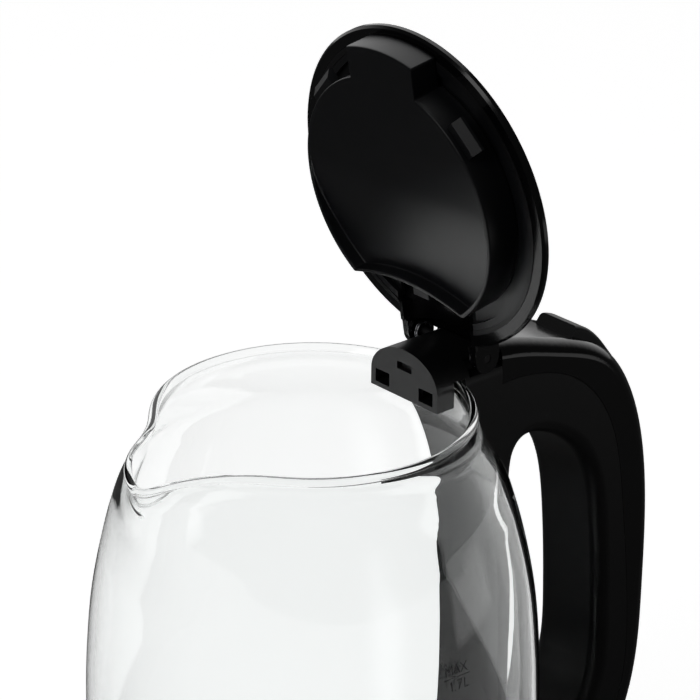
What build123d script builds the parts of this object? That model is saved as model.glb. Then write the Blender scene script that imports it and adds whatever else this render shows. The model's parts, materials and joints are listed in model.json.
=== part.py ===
"""Electric glass kettle with its lid open: separate pieces in one frame, millimetres.

Origin: the centre of the power base's standing face. +Z is up, -X is the spout,
+X is the handle, and the kettle is symmetric about the XZ plane.
"""
from build123d import *
from math import copysign, cos, radians, sin
import os

os.makedirs("parts", exist_ok=True)

# Glass jug
rim_z = 218.0  # centre of the rim's bead above the table
rim_r = 50.0  # radius of the rim's centre line
bead_r = 1.5  # fire-polished bead of the rim
glass_wall = 2.4
belly_r = 74.0  # largest outside radius
belly_drop = 112.0  # from the rim down to the largest radius
glass_foot_z = 43.4
glass_foot_r = 69.5
spout_reach = 74.0  # tip of the pouring lip from the jug's axis
spout_lobe_r = 28.0  # radius of the lip's lobe at the rim
spout_drop = 42.0  # height over which the lip runs into the wall
gap = 0.4  # clearance of plastic parts from the glass

# Jug foot
plate_z = 47.0  # top of the heating plate
plate_r = 63.0
plate_t = 1.0
skirt_drop = 6.0  # the plate's skirt, down to its flange
housing_r = 75.5
housing_wall = 2.5
housing_bottom_z = 22.0
housing_top_z = 56.0
band_t = 0.8
band_h = 9.0

# Power base
base_r = 77.0
base_wall = 2.4
base_top_z = 20.0
foot_h = 2.5
foot_w = 8.0
foot_ring_r = 58.0
inlet_r = 3.4  # hole of the cord's gland
gland_r = 4.8
gland_z = 9.9

# Cordless connector
conn_r = 17.0
conn_top_z = 31.0
socket_r = 18.0
socket_roof_z = 33.0
core_r = 6.9
core_bore_r = 3.0
pin_r = 2.4
sleeve_r = 8.9
sleeve_wall = 0.9
slot_gap = 0.6  # round each contact

# Handle
body_half = 15.5  # half width of the handle
strip_t = 7.0  # strip that follows the glass
seam_gap = 0.15
channel_half = 12.5  # half width of the hollow inside
handle_edge_r = 5.0

# Hinge and its block
hinge_x = 58.15
hinge_h = 7.07  # hinge axis above the rim's bead
hinge_pin_r = 1.4
pin_fit = 0.05
knuckle_r = 5.0
lug_in = 14.6
lug_out = 17.2
open_angle = 80.3
block_x = 37.8  # inner end face of the block
block_half = 16.0
block_base_h = -5.0
block_top_h = 10.1
block_end_x = 66.5
cap_t = 2.0

# Lid, laid out closed and carried open by lid_swing
lid_r = 54.3
lid_h = 2.0  # underside rim above the bead
lid_edge = 2.2
dome_h = 17.0  # crown above the underside rim
lid_wall = 1.8
ring_in = 46.2
plug_r = 41.8
plug_depth = 10.5
plug_wall = 1.6
plug_chord = 33.0  # edge towards the hinge, at its corners
plug_hollow_x = 115.6  # centre of the arc that hollows that edge
plug_hollow_r = 86.3
lobe_r = 51.6  # front lobe of the plug, over the spout
lobe_half = 14.6
scoop_r = 24.4
tunnel_gap = 0.8
tunnel_wall = 1.6

# Latches in the lid
latch_angle = 47.0  # from the lid's front
latch_tip_r = 46.6
latch_w = 12.0
latch_travel = 3.0
cam_pin_r = 1.2

# Release button and power switch
button_x0 = 104.0
button_x1 = 126.0
button_half = 8.5
button_gap = 0.4
rod_h = 3.2
rod_t = 1.8
switch_x = 90.0
switch_z = 42.0
switch_pin_r = 1.2
switch_slot_w = 12.0  # slot of the rocking lever in the handle's foot
trip_z = 34.0  # rod between the switch and the jug's control
trip_w = 5.0
trip_h = 3.0
rod_slot_w = trip_w + 0.8
rod_slot_h = trip_h + 0.8

hinge_z = rim_z + hinge_h
side = Plane.XZ


def rel(points):
    """Side-view points given as (x, height above the rim's bead)."""
    return [(x, rim_z + h) for x, h in points]


def glass_side(inset):
    """Stations of the jug's wall from rim to foot, moved in by inset."""
    neck = rim_r + bead_r - 0.4
    grow = belly_r - neck
    flare = [(-bead_r, 0.0), (15.0, 0.24), (32.0, 0.58), (60.0, 0.865), (belly_drop, 1.0)]
    wall = [(neck + grow * share - inset, rim_z - drop) for drop, share in flare]
    return wall + [(glass_foot_r - inset, glass_foot_z)]


def jug_half(inset):
    """Half section of the solid inside the jug's wall, moved in by inset."""
    wall = glass_side(inset)
    with BuildSketch(side) as half:
        with BuildLine():
            curve = Spline(*wall, tangents=[(0, -1), (-0.14, -1)])
            Polyline(curve @ 1, (0, wall[-1][1]), (0, wall[0][1]), curve @ 0)
        make_face()
    return half.sketch


def finish(part, label):
    """Name a finished piece and write it."""
    part.label = label
    export_step(part, f"parts/{label}.step")


# ---------------------------------------------------------------- glass jug
glass_top_z = rim_z + bead_r
spout_x = spout_lobe_r - spout_reach

with BuildPart() as glass_jug:
    for inset, mode in ((0, Mode.ADD), (glass_wall, Mode.SUBTRACT)):
        revolve(jug_half(inset), axis=Axis.Z, mode=mode)
        with BuildSketch(Plane.XY.offset(glass_top_z)):
            with Locations((spout_x, 0)):
                Circle(spout_lobe_r - inset)
        with BuildSketch(Plane.XY.offset(glass_top_z - spout_drop)):
            with Locations((-rim_r, 0)):
                Circle(belly_r - rim_r - 7.0 - inset)
        loft(mode=mode)
    fillet(glass_jug.edges().group_by(Axis.Z)[-1], glass_wall * 0.4)
finish(glass_jug.part, "glass_jug")

# ---------------------------------------------------------------- jug foot
flange_z = plate_z - skirt_drop - plate_t
flange_r = glass_foot_r - 2.0

with BuildPart() as heating_plate:
    with BuildSketch(side):
        with BuildLine():
            Polyline(
                (0, plate_z - plate_t), (plate_r - plate_t, plate_z - plate_t), (plate_r - plate_t, flange_z),
                (flange_r, flange_z), (flange_r, flange_z + plate_t), (plate_r, flange_z + plate_t),
                (plate_r, plate_z), (0, plate_z), close=True,
            )
        make_face()
    revolve(axis=Axis.Z)
finish(heating_plate.part, "heating_plate")

with BuildPart() as plate_gasket:
    with BuildSketch(side):
        with BuildLine():
            Polyline(
                (plate_r + 0.1, flange_z + plate_t), (flange_r + 2.3, flange_z + plate_t),
                (flange_r + 2.3, glass_foot_z), (glass_foot_r - glass_wall - 0.2, glass_foot_z),
                (glass_foot_r - glass_wall - 0.2, plate_z - 0.6), (plate_r + 0.1, plate_z - 0.6), close=True,
            )
        make_face()
    revolve(axis=Axis.Z)
finish(plate_gasket.part, "plate_gasket")

diffuser_t = 2.6
element_r = 44.0
element_tube_r = 3.4
diffuser_z = plate_z - plate_t - diffuser_t

with BuildPart() as heat_diffuser:
    with BuildSketch(Plane.XY.offset(diffuser_z)):
        Circle(element_r + 8.0)
        Circle(socket_r - 6.0, mode=Mode.SUBTRACT)
    extrude(amount=diffuser_t)
    with Locations(Plane.XY.offset(diffuser_z)):
        with PolarLocations(socket_r + 7.0, 3):
            Cylinder(3.0, 7.0, align=(Align.CENTER, Align.CENTER, Align.MAX))
finish(heat_diffuser.part, "heat_diffuser")

element_z = diffuser_z - element_tube_r - 0.05
element_arc = 300.0

with BuildPart() as heating_element:
    with BuildSketch(Plane.XZ.rotated((0, 0, 30))):
        with Locations((element_r, element_z)):
            Circle(element_tube_r)
    revolve(axis=Axis.Z, revolution_arc=element_arc)
    for turn in (30.0, 30.0 + element_arc):
        end = Plane.XY.rotated((0, 0, turn)).offset(element_z)
        with Locations(end * Location((element_r, 0, 0))):
            Cylinder(1.6, 11.0, align=(Align.CENTER, Align.CENTER, Align.MAX))
finish(heating_element.part, "heating_element")

shelf_z = flange_z - 0.05
glass_out_r = glass_foot_r + 1.3

with BuildPart() as lower_housing:
    with BuildSketch(side):
        with BuildLine():
            Polyline(
                (housing_r, housing_bottom_z), (housing_r, housing_top_z - band_h - 3.0),
                (housing_r - band_t - 0.1, housing_top_z - band_h - 2.0), (housing_r - band_t - 0.1, housing_top_z),
                (glass_out_r + 0.5, housing_top_z), (glass_out_r + 0.5, shelf_z + 2.5), (flange_r + 2.6, shelf_z + 2.5),
                (flange_r + 2.6, shelf_z), (plate_r - 4.5, shelf_z), (plate_r - 4.5, shelf_z - housing_wall),
                (housing_r - housing_wall, shelf_z - housing_wall), (housing_r - housing_wall, housing_bottom_z),
                close=True,
            )
        make_face()
    revolve(axis=Axis.Z)
    with Locations((housing_r, 0, trip_z)):
        Box(14.0, rod_slot_w, rod_slot_h, mode=Mode.SUBTRACT)
    for turn in (60, 180, 300):
        post = Plane.XY.rotated((0, 0, turn)).offset(housing_bottom_z + 2.6)
        with Locations(post * Location((plate_r - 2.0, 0, 0))):
            Cylinder(3.6, shelf_z - housing_bottom_z - 2.6, align=(Align.CENTER, Align.CENTER, Align.MIN))
        with Locations(post * Location((plate_r - 2.0, 0, 0))):
            Cylinder(1.3, 9.0, align=(Align.CENTER, Align.CENTER, Align.MIN), mode=Mode.SUBTRACT)
    for half in (-1, 1):
        with Locations(Location((housing_r, half * 10.0, trip_z + 0.5), (0, 90, 0))):
            Cylinder(1.1, 12.0, mode=Mode.SUBTRACT)
finish(lower_housing.part, "lower_housing")

with BuildPart() as trim_band:
    with BuildSketch(Plane.XY.offset(housing_top_z - band_h)):
        Circle(housing_r)
        Circle(housing_r - band_t, mode=Mode.SUBTRACT)
    extrude(amount=band_h)
finish(trim_band.part, "trim_band")

cover_r = housing_r - housing_wall - 0.2

with BuildPart() as bottom_cover:
    with BuildSketch(Plane.XY.offset(housing_bottom_z)):
        Circle(cover_r)
        Circle(socket_r + 4.0, mode=Mode.SUBTRACT)
    extrude(amount=2.4)
    with Locations(Plane.XY.offset(housing_bottom_z)):
        for turn in (60, 180, 300):
            spot = Location((0, 0, 0), (0, 0, turn)) * Location((plate_r - 2.0, 0, 0))
            with Locations(spot):
                Cylinder(1.7, 8.0, mode=Mode.SUBTRACT)
                Cylinder(3.1, 2.4, mode=Mode.SUBTRACT)
finish(bottom_cover.part, "bottom_cover")

screw_len = 9.0
with BuildPart() as housing_screws:
    for turn in (60, 180, 300):
        spot = Location((0, 0, housing_bottom_z + 0.1), (0, 0, turn)) * Location((plate_r - 2.0, 0, 0))
        with Locations(spot):
            Cylinder(2.9, 1.1, align=(Align.CENTER, Align.CENTER, Align.MIN))
            Cylinder(1.2, screw_len, align=(Align.CENTER, Align.CENTER, Align.MIN))
            Cylinder(0.8, 0.6, align=(Align.CENTER, Align.CENTER, Align.MIN), mode=Mode.SUBTRACT)
finish(housing_screws.part, "housing_screws")

# ---------------------------------------------------------------- cordless connector
control_top_z = diffuser_z - 7.0

with BuildPart() as jug_connector:
    with BuildSketch(Plane.XY.offset(housing_bottom_z + 0.4)):
        Circle(socket_r + 3.6)
        Circle(socket_r, mode=Mode.SUBTRACT)
    extrude(amount=control_top_z - housing_bottom_z - 0.4)
    with BuildSketch(Plane.XY.offset(socket_roof_z)):
        Circle(socket_r + 10.0)
    extrude(amount=control_top_z - socket_roof_z)
finish(jug_connector.part, "jug_connector")

contact_z = housing_bottom_z + 1.4
with BuildPart() as earth_pin:
    with BuildSketch(Plane.XY.offset(contact_z)):
        Circle(pin_r)
    extrude(amount=socket_roof_z - contact_z)
    fillet(earth_pin.edges().group_by(Axis.Z)[0], pin_r * 0.6)
finish(earth_pin.part, "earth_pin")

with BuildPart() as contact_sleeve:
    with BuildSketch(Plane.XY.offset(contact_z)):
        Circle(sleeve_r)
        Circle(sleeve_r - sleeve_wall, mode=Mode.SUBTRACT)
    extrude(amount=socket_roof_z - contact_z)
finish(contact_sleeve.part, "contact_sleeve")

with BuildPart() as dry_boil_discs:
    for turn in (90, 270):
        with Locations(Location((0, 0, control_top_z), (0, 0, turn)) * Location((socket_r + 2.0, 0, 0))):
            Cylinder(6.0, 1.2, align=(Align.CENTER, Align.CENTER, Align.MIN))
finish(dry_boil_discs.part, "dry_boil_discs")

# ---------------------------------------------------------------- power base
base_floor_z = foot_h
conn_floor_z = 9.0
slot_in = sleeve_r - sleeve_wall - slot_gap
slot_out = sleeve_r + slot_gap

with BuildPart() as base_shell:
    with BuildSketch(side):
        with BuildLine():
            Polyline(
                (base_r, base_floor_z), (base_r, base_top_z - 4.0), (base_r - 5.0, base_top_z),
                (conn_r + 1.0, base_top_z), (conn_r + 1.0, base_top_z - base_wall),
                (base_r - 6.0, base_top_z - base_wall), (base_r - base_wall, base_top_z - 6.0),
                (base_r - base_wall, base_floor_z), close=True,
            )
        make_face()
    revolve(axis=Axis.Z)
    with Locations(Location((base_r, 0, gland_z), (0, 90, 0))):
        Cylinder(gland_r - 0.8, 20.0, mode=Mode.SUBTRACT)
finish(base_shell.part, "base_shell")

with BuildPart() as base_plate:
    with BuildSketch(Plane.XY.offset(base_floor_z)):
        Circle(base_r - base_wall - 0.2)
    extrude(amount=base_wall)
    with BuildSketch(Plane.XY.offset(base_floor_z + base_wall)):
        Circle(conn_r)
        Circle(conn_r - 2.4, mode=Mode.SUBTRACT)
    extrude(amount=conn_floor_z - base_floor_z - base_wall)
    with Locations(Plane.XY.offset(base_floor_z)):
        with PolarLocations(foot_ring_r - 14.0, 3, start_angle=60):
            Cylinder(1.7, 12.0, mode=Mode.SUBTRACT)
            Cylinder(3.1, 2.4, mode=Mode.SUBTRACT)
finish(base_plate.part, "base_plate")

with BuildPart() as rubber_foot:
    with BuildSketch():
        Circle(foot_ring_r + foot_w / 2)
        Circle(foot_ring_r - foot_w / 2, mode=Mode.SUBTRACT)
    extrude(amount=foot_h)
    chamfer(rubber_foot.edges().group_by(Axis.Z)[0], 0.4)
finish(rubber_foot.part, "rubber_foot")

with BuildPart() as base_screws:
    with Locations(Plane.XY.offset(base_floor_z + 0.1)):
        with PolarLocations(foot_ring_r - 14.0, 3, start_angle=60):
            Cylinder(2.9, 1.1, align=(Align.CENTER, Align.CENTER, Align.MIN))
            Cylinder(1.2, screw_len, align=(Align.CENTER, Align.CENTER, Align.MIN))
finish(base_screws.part, "base_screws")

with BuildPart() as base_connector:
    with BuildSketch(Plane.XY.offset(conn_floor_z)):
        Circle(conn_r)
    extrude(amount=2.0)
    with BuildSketch(Plane.XY.offset(conn_floor_z + 2.0)):
        Circle(conn_r)
        Circle(slot_out, mode=Mode.SUBTRACT)
    extrude(amount=conn_top_z - conn_floor_z - 2.0)
    chamfer(base_connector.edges().group_by(Axis.Z)[-1], 0.8)
finish(base_connector.part, "base_connector")

with BuildPart() as connector_core:
    with BuildSketch(Plane.XY.offset(conn_floor_z + 2.0)):
        Circle(core_r)
        Circle(core_bore_r, mode=Mode.SUBTRACT)
    extrude(amount=conn_top_z - conn_floor_z - 2.0)
finish(connector_core.part, "connector_core")

with BuildPart() as cord_gland:
    for start, length, radius in (
        (base_r - base_wall - 2.8, 2.4, gland_r),
        (base_r - base_wall - 0.4, base_wall + 0.6, gland_r - 1.0),
        (base_r + 0.1, 1.6, gland_r),
    ):
        with BuildSketch(Plane.YZ.offset(start)):
            with Locations((0, gland_z)):
                Circle(radius)
                Circle(inlet_r, mode=Mode.SUBTRACT)
        extrude(amount=length)
finish(cord_gland.part, "cord_gland")

# ---------------------------------------------------------------- handle
# Side-view outlines, as (x, height above the rim's bead)
back_line = [
    (block_end_x, 9.0), (75.0, 7.6), (95.0, 2.0), (118.4, -8.3), (131.0, -25.0), (139.0, -50.0),
    (142.3, -105.0), (140.8, -135.0), (131.0, -163.0), (112.0, -181.0), (84.0, -190.0),
]
seam_line = [
    (block_end_x, -4.8), (80.0, -5.3), (101.0, -12.5), (119.2, -33.8), (127.2, -66.8), (132.4, -112.0),
    (130.4, -144.0), (120.0, -164.0), (102.0, -178.0), (72.0, -187.0),
]
finger_line = [
    (74.5, -36.0), (78.5, -29.2), (90.0, -30.5), (108.0, -45.5), (116.0, -76.0), (118.4, -112.0),
    (115.5, -139.0), (100.0, -155.0), (86.0, -152.0), (81.8, -134.0), (82.6, -100.0), (79.6, -62.0),
]
channel_line = [
    (74.0, -12.0), (94.0, -15.5), (112.0, -28.0), (122.5, -50.0), (129.0, -90.0), (130.0, -122.0),
    (124.0, -148.0), (108.0, -165.0), (88.0, -172.0),
]
channel_w = 17.0
foot_x = housing_r + 0.3


def handle_region():
    """Side view of the whole handle, with the finger opening."""
    with BuildSketch(side) as region:
        with BuildLine():
            back = Spline(*rel(back_line))
            end = back @ 1
            Polyline(
                end, (foot_x, end.Y - 1.0), (rim_r - 6.0, end.Y - 1.0), (rim_r - 6.0, rim_z + block_base_h),
                (block_end_x, rim_z + block_base_h), back @ 0,
            )
        make_face()
        with BuildLine():
            Spline(*rel(finger_line), periodic=True)
        make_face(mode=Mode.SUBTRACT)
    return region.sketch


def cover_region(shift):
    """Side view of everything outside the seam, moved inward by shift."""
    with BuildSketch(side) as region:
        with BuildLine():
            seam = Spline(*[(x + copysign(shift, 100.0 - x), z + copysign(shift, 128.0 - z)) for x, z in rel(seam_line)])
            first = seam @ 0
            last = seam @ 1
            Polyline(last, (last.X, last.Y - 60.0), (last.X + 140.0, last.Y - 60.0))
            Polyline((last.X + 140.0, last.Y - 60.0), (last.X + 140.0, first.Y + 60.0))
            Polyline((last.X + 140.0, first.Y + 60.0), (first.X - 1.0, first.Y + 60.0), (first.X - 1.0, first.Y), first)
        make_face()
    return region.sketch


def strap_section():
    """Side view of the channel inside the handle."""
    with BuildSketch(side) as region:
        with BuildLine():
            Spline(*rel(channel_line))
        trace(line_width=channel_w)
    return region.sketch


def rod_passage():
    """Box from the block's tunnel down into the handle's channel."""
    with BuildPart() as passage:
        with BuildSketch(side):
            with Locations((block_end_x + 3.5, rim_z - 4.4)):
                Rectangle(20.0, 19.2)
        extrude(amount=8.6, both=True)
    return passage.part


button_shaft_bottom = rim_z - 24.0

with BuildPart() as handle_shell:
    extrude(handle_region(), amount=body_half, both=True)
    rims = handle_shell.edges().filter_by(GeomType.BSPLINE)
    rims = rims.filter_by(lambda e: abs(abs(e.center().Y) - body_half) < 0.01)
    fillet(rims, handle_edge_r)
    extrude(strap_section(), amount=channel_half, both=True, mode=Mode.SUBTRACT)
    add(rod_passage(), mode=Mode.SUBTRACT)
    revolve(jug_half(-gap), axis=Axis.Z, mode=Mode.SUBTRACT)
    with Locations((0, 0, 0)):
        Cylinder(foot_x, housing_top_z + 0.4, align=(Align.CENTER, Align.CENTER, Align.MIN), mode=Mode.SUBTRACT)
    with BuildSketch(Plane.XY.offset(button_shaft_bottom)):
        with Locations(((button_x0 + button_x1) / 2, 0)):
            Rectangle(button_x1 - button_x0 + 2 * button_gap, 2 * (button_half + button_gap))
    extrude(amount=60.0, mode=Mode.SUBTRACT)
    with Locations((switch_x, 0, switch_z - 9.0)):
        Box(switch_slot_w, 12.0, 30.0, mode=Mode.SUBTRACT)
    with Locations((switch_x - 12.0, 0, trip_z)):
        Box(24.0, rod_slot_w, rod_slot_h, mode=Mode.SUBTRACT)
    with Locations(Location((switch_x, 0, switch_z), (90, 0, 0))):
        Cylinder(switch_pin_r, 2 * channel_half + 2.0, mode=Mode.SUBTRACT)

seat_h = -30.0
spring_x = 111.0
tube_r = 4.2
tube_line = rel([(121.5, -42.0), (129.2, -80.0), (130.0, -122.0), (124.0, -148.0), (110.0, -162.0)])
clip_spots = rel([(125.6, -62.0), (129.7, -108.0)])
disc_x = 105.6
disc_z = rim_z - 166.4
disc_t = 0.8


def tube_run(radius):
    """Solid rod along the steam tube's line."""
    with BuildPart() as rod:
        with BuildLine(side):
            run = FilletPolyline(*tube_line, radius=16.0)
        with BuildSketch(Plane(run @ 0, z_dir=run % 0)):
            Circle(radius)
        sweep(path=run)
    return rod.part


with BuildPart() as handle_body:
    add(handle_shell.part)
    with Locations((spring_x, 0, rim_z + seat_h - 1.0)):
        Box(9.0, 2 * channel_half + 0.6, 2.0)
    for spot_x, spot_z in clip_spots:
        with Locations((spot_x, 0, spot_z)):
            Box(2 * tube_r + 3.6, 2 * channel_half + 0.6, 2.4)
    with Locations(Location((disc_x, 0, disc_z), (0, -45, 0)) * Location((0, 0, -disc_t / 2 - 0.6))):
        Box(5.0, 2 * channel_half + 0.6, 1.2)
    add(tube_run(tube_r), mode=Mode.SUBTRACT)
    extrude(cover_region(seam_gap), amount=body_half + 1.0, both=True, mode=Mode.SUBTRACT)
    for half in (-1, 1):
        with Locations((59.5, half * 12.8, rim_z - 5.0)):
            Cylinder(1.0, 12.0, mode=Mode.SUBTRACT)
        with Locations(Location((foot_x, half * 10.0, trip_z + 0.5), (0, 90, 0))):
            Cylinder(1.0, 20.0, mode=Mode.SUBTRACT)
finish(handle_body.part, "handle_body")

with BuildPart() as handle_cover:
    add(handle_shell.part)
    extrude(cover_region(0), amount=body_half + 1.0, both=True, mode=Mode.INTERSECT)
finish(handle_cover.part, "handle_cover")

# ---------------------------------------------------------------- hinge block
slot_top_h = bead_r + gap
tunnel_h = slot_top_h + 1.0
tunnel_half = 8.6
pocket_in = 11.2
pocket_x = 52.3
pocket_floor_h = 1.6


def arch(grow, base_h):
    """D-shaped section of the hinge block on the YZ plane, grown outward."""
    with BuildSketch(Plane.YZ) as section:
        with Locations((0, rim_z - 1.0)):
            Ellipse(block_half - 0.2 + grow, block_top_h + 1.0 + grow)
            Rectangle(80.0, 80.0, align=(Align.CENTER, Align.MAX), mode=Mode.SUBTRACT)
            Rectangle(2 * (block_half - 0.2 + grow), 10.0, align=(Align.CENTER, Align.MAX))
        with Locations((0, rim_z + base_h)):
            Rectangle(80.0, 80.0, align=(Align.CENTER, Align.MAX), mode=Mode.SUBTRACT)
    return section.sketch


def slab(x0, x1, section):
    """Section on the YZ plane carried from x0 to x1."""
    with BuildPart() as run:
        extrude(Pos(x0, 0, 0) * section, amount=x1 - x0, dir=(1, 0, 0))
    return run.part


hinge_place = Location((hinge_x, 0, hinge_z), (90, 0, 0))

with BuildPart() as hinge_block:
    add(slab(block_x + cap_t, block_end_x, arch(0, block_base_h)))
    add(slab(block_x + cap_t, 47.4, arch(0, -6.8)))
    with BuildSketch(side):
        with Locations((rim_r + 0.2, rim_z - 15.0)):
            Rectangle(2 * (bead_r + gap + 0.5), 15.0 + slot_top_h, align=(Align.CENTER, Align.MIN))
    revolve(axis=Axis.Z, mode=Mode.SUBTRACT)
    with BuildSketch(Plane.YZ.offset(block_x)):
        with Locations((0, rim_z + tunnel_h)):
            Rectangle(2 * tunnel_half, 5.4, align=(Align.CENTER, Align.MIN))
    extrude(amount=block_end_x - block_x, mode=Mode.SUBTRACT)
    add(slab(block_x, 45.6, arch(-2.0, -5.2)), mode=Mode.SUBTRACT)
    add(rod_passage(), mode=Mode.SUBTRACT)
    for half in (-1, 1):
        with Locations(((pocket_x + block_end_x) / 2, half * (pocket_in + 4.0), rim_z + pocket_floor_h + 6.0)):
            Box(block_end_x - pocket_x, 8.0, 12.0, mode=Mode.SUBTRACT)
        with Locations((59.5, half * 12.8, rim_z)):
            Cylinder(1.2, 12.0, mode=Mode.SUBTRACT)
        with Locations((59.5, half * 12.8, rim_z + pocket_floor_h)):
            Cylinder(2.2, 3.0, mode=Mode.SUBTRACT)
    with BuildSketch(side):
        with Locations((hinge_x, hinge_z)):
            Rectangle(20.0, 20.0, align=(Align.MIN, Align.MIN))
            Circle(3.0, mode=Mode.SUBTRACT)
    extrude(amount=pocket_in + 0.1, both=True, mode=Mode.SUBTRACT)
    with Locations(hinge_place):
        Cylinder(hinge_pin_r, 40.0, mode=Mode.SUBTRACT)
finish(hinge_block.part, "hinge_block")

with BuildPart() as block_cap:
    add(slab(block_x, block_x + cap_t, arch(0, -6.8)))
    for half in (-1, 1):
        with Locations((block_x + 1.0, half * 10.3, rim_z - 2.9)):
            Box(6.0, 6.6, 4.6, mode=Mode.SUBTRACT)
    with Locations((block_x + 1.0, 0, rim_z + rod_h + rod_t / 2)):
        Box(6.0, 6.8, rod_t + 0.8, mode=Mode.SUBTRACT)
finish(block_cap.part, "block_cap")

with BuildPart() as hinge_pin:
    with Locations(hinge_place):
        Cylinder(hinge_pin_r, 2 * lug_out - 0.4)
finish(hinge_pin.part, "hinge_pin")

with BuildPart() as block_screws:
    for half in (-1, 1):
        with Locations((59.5, half * 12.8, rim_z + pocket_floor_h - 1.5)):
            Cylinder(2.0, 1.2, align=(Align.CENTER, Align.CENTER, Align.MIN))
            Cylinder(0.95, 11.0, align=(Align.CENTER, Align.CENTER, Align.MAX))
finish(block_screws.part, "block_screws")

foot_screw_x = housing_r - housing_wall - 2.2
with BuildPart() as foot_screws:
    for half in (-1, 1):
        with Locations(Location((foot_screw_x - 1.6, half * 10.0, trip_z + 0.5), (0, 90, 0))):
            Cylinder(2.0, 1.4, align=(Align.CENTER, Align.CENTER, Align.MIN))
            Cylinder(0.95, 14.0, align=(Align.CENTER, Align.CENTER, Align.MIN))
finish(foot_screws.part, "foot_screws")

coil_r = 3.2
spring_wire_r = 0.4
with BuildPart() as lid_springs:
    for half in (-1, 1):
        start = half * (pocket_in + 0.7)
        coil = Helix(0.9, 1.8, coil_r, center=(hinge_x, start, hinge_z), direction=(0, half, 0))
        with BuildSketch(Plane(coil @ 0, z_dir=coil % 0)):
            Circle(spring_wire_r)
        sweep(path=coil)
finish(lid_springs.part, "lid_springs")

# ---------------------------------------------------------------- lid
lid_swing = Location((hinge_x, 0, hinge_z), (0, open_angle, 0)) * Location((-hinge_x, 0, -hinge_z))
lid_side = Plane(lid_swing * Plane.XZ.location)
lid_axis = Axis(lid_side.origin, lid_side.y_dir)
ring_z = rim_z + lid_h
dome_rim_h = lid_edge
dome_r = (lid_r ** 2 + (dome_h - dome_rim_h) ** 2) / (2 * (dome_h - dome_rim_h))


def dome_z(r, inset):
    """Height of the dome's surface at radius r, moved in by inset."""
    centre_z = ring_z + dome_h - dome_r
    return centre_z + ((dome_r - inset) ** 2 - r ** 2) ** 0.5


def lid_part(z):
    """Lid plane at a height given for the closed lid."""
    return Plane(lid_swing * Plane.XY.offset(z).location)


def dome_solid(radius, floor_z, inset, bevel):
    """Solid under the dome's surface, inside a radius, with a bevelled lower edge."""
    edge_z = dome_z(radius, inset)
    mid_r = radius / 2
    with BuildPart() as dome:
        with BuildSketch(lid_side):
            with BuildLine():
                Polyline((0, floor_z), (radius - bevel, floor_z), (radius, floor_z + bevel), (radius, edge_z))
                ThreePointArc((radius, edge_z), (mid_r, dome_z(mid_r, inset)), (0, dome_z(0, inset)))
                Line((0, dome_z(0, inset)), (0, floor_z))
            make_face()
        revolve(axis=lid_axis)
    return dome.part


def lid_box(x0, x1, half_y, z0, z1):
    """Box given for the closed lid, carried open."""
    with BuildPart() as block:
        with BuildSketch(lid_part(z0)):
            with Locations(((x0 + x1) / 2, 0)):
                Rectangle(x1 - x0, 2 * half_y)
        extrude(amount=z1 - z0)
    return block.part


def lug_profile(start):
    """Side view of a hinge lug of the closed lid, at its inner face."""
    with BuildSketch(Plane(lid_swing * Plane.XZ.offset(-start).location)) as lug:
        with BuildLine():
            Polyline(
                (46.0, ring_z), (hinge_x, hinge_z - knuckle_r), (hinge_x, hinge_z + knuckle_r),
                (46.0, dome_z(46.0, 0)), close=True,
            )
        make_face()
        with Locations((hinge_x, hinge_z)):
            Circle(knuckle_r)
    return lug.sketch


neck_end_x = pocket_x + 0.9
floor_t = 1.2
floor_z = ring_z + 1.8

with BuildPart() as lid_top:
    add(dome_solid(lid_r, ring_z, 0, 0.8))
    add(lid_swing * slab(28.0, neck_end_x, arch(tunnel_gap + tunnel_wall, lid_h)))
    add(dome_solid(lid_r - 4.2, ring_z - 5.0, lid_wall, 0.1), mode=Mode.SUBTRACT)
    add(lid_swing * slab(30.0, 80.0, arch(tunnel_gap, lid_h - 3.0)), mode=Mode.SUBTRACT)
    for start in (lug_in, -lug_out):
        extrude(lug_profile(start), amount=lug_out - lug_in, dir=(0, 1, 0))
    add(lid_swing * slab(44.0, pocket_x + gap, arch(tunnel_gap, lid_h - 3.0)), mode=Mode.SUBTRACT)
    add(lid_box(46.0, hinge_x, lug_out, hinge_z + 4.0, hinge_z + 5.4))
    with Locations(lid_swing * hinge_place):
        Cylinder(hinge_pin_r + pin_fit, 60.0, mode=Mode.SUBTRACT)
finish(lid_top.part, "lid_top")

seal_out = lid_r - 4.25
seal_in = seal_out - 1.6
seal_drop = 0.2

with BuildPart() as lid_frame:
    with BuildSketch(lid_side):
        with BuildLine():
            Polyline(
                (0, floor_z), (ring_in, floor_z), (ring_in, ring_z), (seal_in - 0.05, ring_z),
                (seal_in - 0.05, floor_z + floor_t), (0, floor_z + floor_t), close=True,
            )
        make_face()
    revolve(axis=lid_axis)
    add(lid_box(plug_chord + 0.5, 80.0, lug_out + 0.4, ring_z - 30.0, ring_z + 30.0), mode=Mode.SUBTRACT)
finish(lid_frame.part, "lid_frame")

with BuildPart() as lid_seal:
    with BuildSketch(lid_side):
        with Locations(((seal_in + seal_out) / 2, ring_z - seal_drop)):
            Rectangle(seal_out - seal_in, 2.2, align=(Align.CENTER, Align.MIN))
    revolve(axis=lid_axis)
    add(lid_box(0, 80.0, lug_out + 0.4, ring_z - 30.0, ring_z + 30.0), mode=Mode.SUBTRACT)
finish(lid_seal.part, "lid_seal")

# Plug of the lid: a shallow cup under the frame, holding the latches
plug_z = ring_z - plug_depth
latch_z = plug_z + plug_wall + 0.3
latch_t = 3.4
window_half = latch_w / 2 + 0.5


def plug_outline(inset, z):
    """Plan of the plug with its hollow edge towards the hinge."""
    with BuildSketch(lid_part(z)) as plan:
        Circle(plug_r - inset)
        with Locations((plug_hollow_x, 0)):
            Circle(plug_hollow_r + inset, mode=Mode.SUBTRACT)
    return plan.sketch


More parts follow.
